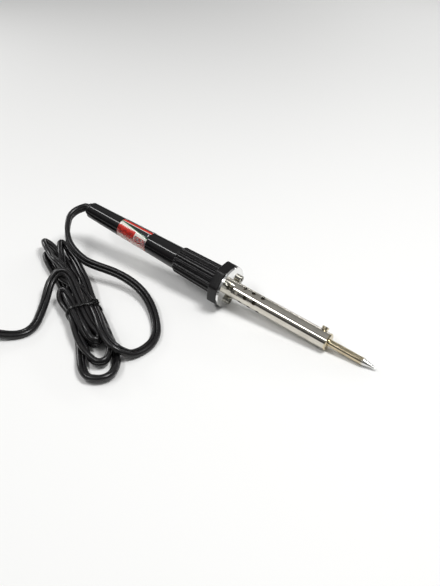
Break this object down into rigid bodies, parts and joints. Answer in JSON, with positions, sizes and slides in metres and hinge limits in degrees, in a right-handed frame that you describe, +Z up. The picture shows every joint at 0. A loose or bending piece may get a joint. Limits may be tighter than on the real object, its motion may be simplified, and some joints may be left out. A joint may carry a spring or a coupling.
{
  "type": "soldering iron",
  "caption": "Pencil-type mains soldering iron with a fluted handle, octagonal collar, vented barrel, clamped pointed bit and a tied flat cord with plug.",
  "frame": {"origin": "on the bench, under the middle of the iron's own length and width, without its cord", "axes": "+X from the cord end towards the point of the bit, along the bench; +Z up; the iron's axis dips towards the point"},
  "size_m": [0.2806, 0.1902, 0.0345],
  "materials": {
    "handle_plastic": "moulded black phenolic, glossy on the sleeve, satin on the grip",
    "label_foil": "printed foil sticker",
    "grommet_rubber": "soft black rubber",
    "flange_steel": "bright nickel-plated steel",
    "screw_steel": "nickel-plated",
    "insert_brass": "machined",
    "barrel_nickel": "polished nickel-plated steel",
    "cap_brass": "nickel-washed brass",
    "bit_plating": "plated copper, warm nickel",
    "ceramic": "fired ceramic",
    "ribbon": "nickel-chrome ribbon",
    "mica": "pale mica",
    "sleeving": "woven glass sleeving",
    "copper": "copper strand",
    "clamp_steel": "zinc-plated",
    "cord_rubber": "semi-gloss black rubber",
    "tie_plastic": "black tie",
    "plug_plastic": "moulded black",
    "pin_brass": "nickel-plated brass"
  },
  "bodies": {
    "iron": {"handle": "handle_plastic", "label": "label_foil", "cord_grommet": "grommet_rubber", "flange_disc": "flange_steel", "flange_screws": "screw_steel", "flange_inserts": "insert_brass", "barrel_tube": "barrel_nickel", "barrel_cap": "cap_brass", "heater_core": "ceramic", "heating_coil": "ribbon", "mica_sleeve": "mica", "front_insulator": "ceramic", "rear_insulator": "ceramic", "heater_leads": "ribbon", "lead_sleeves": "sleeving", "terminal_block": "ceramic", "terminal_screws": "insert_brass", "cord_cores": "copper", "cord_clamp": "clamp_steel", "cord_inside": "cord_rubber", "cord_lead": "cord_rubber", "cord_hank": "cord_rubber", "cord_tie": "tie_plastic", "cord_tail": "cord_rubber", "plug_body": "plug_plastic", "plug_pins": "pin_brass", "pin_sleeves": "plug_plastic", "plug_relief": "plug_plastic"},
    "bit": {"soldering_tip": "bit_plating"},
    "clamp_screw": {"set_screw": "screw_steel"}
  },
  "joints": [
    {"name": "bit_slide", "type": "slide", "parent": "iron", "child": "bit", "axis": [0.9934, 0, -0.1143], "range_m": [0, 0.05]},
    {"name": "set_screw_turn", "type": "hinge", "parent": "iron", "child": "clamp_screw", "pos_m": [0.07897, 0, 0.00634], "axis": [0.0808, 0.7071, 0.7025], "range_deg": [0, 720]}
  ]
}
